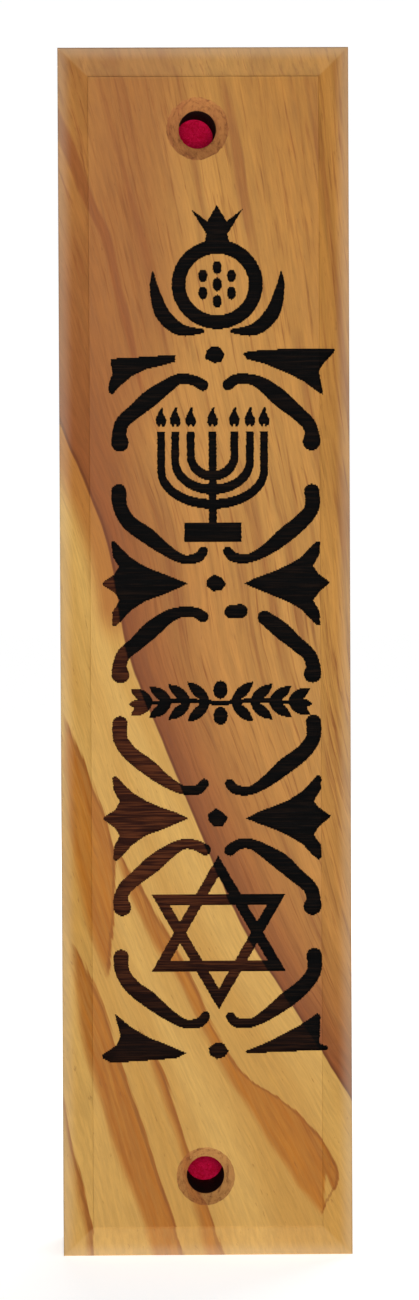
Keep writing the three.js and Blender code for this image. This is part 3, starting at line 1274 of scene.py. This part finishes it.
def routed_material(tree, name="routed_wood", shift=(0, 0, 0)):
    """Unfinished wood where a cutter has been, with its fine ripple."""
    material, graph, shader, place = new_material(name)
    colour, _, fibre = figured(graph, tree, graph.shifted(place, shift))
    ripple = graph.noise(place, (0.3, 0.3, 2.2), 1.0)
    colour = graph.mix(0.35, colour, linear(196, 158, 104))
    colour = graph.mix(graph.fit(ripple, 0.55, 0.8, 0.0, 0.3), colour, linear(140, 92, 52))
    height = graph.plus(ripple, fibre)
    dress(graph, shader, colour, graph.bump(height, 0.06, 0.7), roughness=0.82, specular=0.15)
    return material


# ---- the other materials

def felt_material():
    material, graph, shader, place = new_material("crimson_felt")
    fibres = graph.noise(place, (2.6, 2.6, 2.6), 5.0, 0.75, 1.2)
    clumps = graph.noise(place, (0.7, 0.7, 0.7), 2.0)
    colour = graph.mix(graph.fit(fibres, 0.35, 0.7), linear(212, 0, 50), linear(255, 26, 92))
    colour = graph.mix(graph.fit(clumps, 0.3, 0.7, 0.0, 0.35), colour, linear(190, 0, 40))
    dress(graph, shader, colour, graph.bump(fibres, 0.2, 0.8), roughness=0.95, specular=0.05)
    shader.inputs["Sheen Weight"].default_value = 0.15
    shader.inputs["Sheen Roughness"].default_value = 0.5
    return material


def parchment_material():
    material, graph, shader, place = new_material("parchment_skin")
    clouds = graph.noise(place, (0.12, 0.12, 0.12), 4.0, 0.6)
    follicles = graph.noise(place, (2.8, 2.8, 2.8), 3.0, 0.6)
    colour = graph.mix(graph.fit(clouds, 0.3, 0.7), linear(238, 226, 196), linear(220, 200, 160))
    colour = graph.mix(graph.fit(follicles, 0.6, 0.8, 0.0, 0.3), colour, linear(190, 164, 122))
    uneven = graph.fit(clouds, 0.3, 0.7, 0.55, 0.75)
    dress(graph, shader, colour, graph.bump(follicles, 0.03, 0.6), roughness=uneven, specular=0.3)
    return material


def film_material():
    material, graph, shader, place = new_material("clear_film")
    crinkle = graph.noise(place, (0.5, 0.5, 0.12), 3.0, 0.6, 0.8)
    colour = graph.mix(graph.fit(crinkle, 0.3, 0.7), linear(236, 242, 246), linear(250, 252, 253))
    uneven = graph.fit(crinkle, 0.3, 0.7, 0.08, 0.2)
    dress(graph, shader, colour, graph.bump(crinkle, 0.12, 0.5), roughness=uneven, specular=0.6)
    shader.inputs["Alpha"].default_value = 0.24
    return material


def floor_material():
    """A near-white floor that gives off a little light, more of it further out."""
    near_glow, far_glow, far = 0.66, 0.97, 360.0
    material, graph, shader, place = new_material("pale_floor")
    mottle = graph.noise(place, (0.01, 0.01, 0.01), 2.0)
    colour = graph.mix(mottle, linear(252, 252, 252), linear(255, 255, 255))
    graph.feed(shader.inputs["Base Color"], colour)
    shader.inputs["Roughness"].default_value = 0.9
    shader.inputs["Specular IOR Level"].default_value = 0.0
    x, y, _ = graph.split(place)
    from_middle = graph.math("SQRT", graph.plus(graph.times(x, x), graph.times(y, y)))
    shader.inputs["Emission Color"].default_value = (1, 1, 1, 1)
    glow = graph.fit(from_middle, 0.0, far, near_glow, far_glow)
    graph.feed(shader.inputs["Emission Strength"], glow)
    return material


# ---- camera, floor and light

def make_camera():
    """Square on to the front, from a little above its middle and a little to the left."""
    distance = 463.0
    view_height = 134.04
    place = Vector((-7.0, FRONT - distance, 12.0))
    target = Vector((0.39, FRONT, 0.36))
    roll = math.radians(0.26)
    data = bpy.data.cameras.new("camera")
    data.sensor_width = 36.0
    data.lens = data.sensor_width * distance / view_height
    data.clip_start = 0.02
    data.clip_end = 20.0
    camera = placed("camera", data)
    aim = (target - place).to_track_quat("-Z", "Y").to_matrix()
    turn = aim @ Matrix.Rotation(-roll, 3, "Z")
    camera.matrix_world = Matrix.Translation(place * MM) @ turn.to_4x4()
    bpy.context.scene.camera = camera


def make_floor():
    """A square floor at the block's foot, six metres across."""
    half = 3.0
    low = case_low.z * MM
    corners = ((-half, -half), (half, -half), (half, half), (-half, half))
    mesh = bmesh.new()
    mesh.faces.new([mesh.verts.new((x, y, low)) for x, y in corners])
    floor = finished(mesh, "floor", [floor_material()])


def soft_box(name, place, target, width, height, watts):
    """A rectangular light that points at a target. Places and sizes are in millimetres."""
    data = bpy.data.lights.new(name, "AREA")
    data.shape = "RECTANGLE"
    data.size = width * MM
    data.size_y = height * MM
    data.energy = watts
    light = placed(name, data)
    place, target = Vector(place), Vector(target)
    turn = (target - place).to_track_quat("-Z", "Y").to_matrix()
    light.matrix_world = Matrix.Translation(place * MM) @ turn.to_4x4()


def make_light():
    """A pale room that hardly lights the block, and five soft lights: a small one in front,
    beside the camera, and broad ones above, to the right, to the left and behind."""
    room_light, room_seen = 0.03, 0.98
    scene = bpy.context.scene
    scene.view_settings.view_transform = "Standard"
    world = bpy.data.worlds.new("pale_room")
    scene.world = world
    world.use_nodes = True
    graph = Graph(world.node_tree)
    seen = graph.node("LightPath").outputs["Is Camera Ray"]
    background = world.node_tree.nodes["Background"]
    background.inputs["Color"].default_value = (1, 1, 1, 1)
    strength = graph.plus(graph.times(seen, room_seen), room_light)
    graph.feed(background.inputs["Strength"], strength)
    for name, place, target, width, height, watts in (
        ("front_light", (0, -540, 10), (0, 0, 0), 90, 90, 1.3),
        ("top_light", (40, -200, 440), (0, 0, 40), 420, 300, 0.48),
        ("right_light", (430, -460, 30), (0, 0, 0), 300, 420, 0.12),
        ("left_light", (-430, -430, 40), (0, 0, 0), 300, 420, 0.03),
        ("back_light", (120, 520, 400), (0, 0, 0), 420, 300, 2.0),
    ):
        soft_box(name, place, target, width, height, watts)


# ---- putting it together

make_camera()
figure = wood_figure()
block = block_piece([
    wood_material("olive_wood", figure, bevelled=True),
    burnt_material(figure),
    bored_material(figure),
    routed_material(figure),
])
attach(block, "case")
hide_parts("case_body")

cover_shift = (9.0, 4.0, 60.0)
panel = cover_piece([
    wood_material("cover_wood", figure, cover_shift, 0.62),
    routed_material(figure, "cut_cover_wood", cover_shift),
])
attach(panel, "cover")
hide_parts("back_cover")

felt = felt_piece(felt_material())
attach(felt, "cover")
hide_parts("cover_felt")

parchment = rolled_sheet(
    "parchment_roll", parchment_material(), scroll_low, scroll_high,
    turns=3.6, inner=2.28, outer=3.9, thickness=0.16, waviness=0.04, steps_along=36,
)
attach(parchment, "case")
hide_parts("parchment_scroll")

film = rolled_sheet(
    "film_sleeve", film_material(), sleeve_low, sleeve_high,
    turns=1.12, inner=4.14, outer=4.3, thickness=0.06, waviness=0.02, steps_along=24,
)
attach(film, "case")
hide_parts("scroll_sleeve")

make_floor()
make_light()
